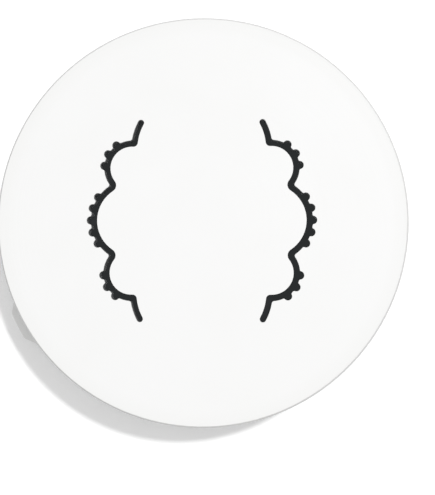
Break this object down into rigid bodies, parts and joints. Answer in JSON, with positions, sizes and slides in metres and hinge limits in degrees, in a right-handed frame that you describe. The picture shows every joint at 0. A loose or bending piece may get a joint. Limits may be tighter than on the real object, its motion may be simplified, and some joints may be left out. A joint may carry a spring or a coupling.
{
  "type": "pasta maker disc",
  "caption": "Round white plastic shaping disc for a pasta extruder, with mirrored toothed wavy slots, inlet troughs, a rear collar, a blind centre bore and an alignment lug.",
  "frame": {"origin": "on the disc's axis, in the plane of the rear collar's rim, on which the disc lies", "axes": "+Z along the disc's axis, out of the front face; +X across the two slots; +Y along the slots, upwards in the picture"},
  "size_m": [0.09, 0.09, 0.016],
  "materials": {
    "acetal": "satin"
  },
  "bodies": {
    "root": {"pasta_disc": "acetal"}
  },
  "joints": []
}
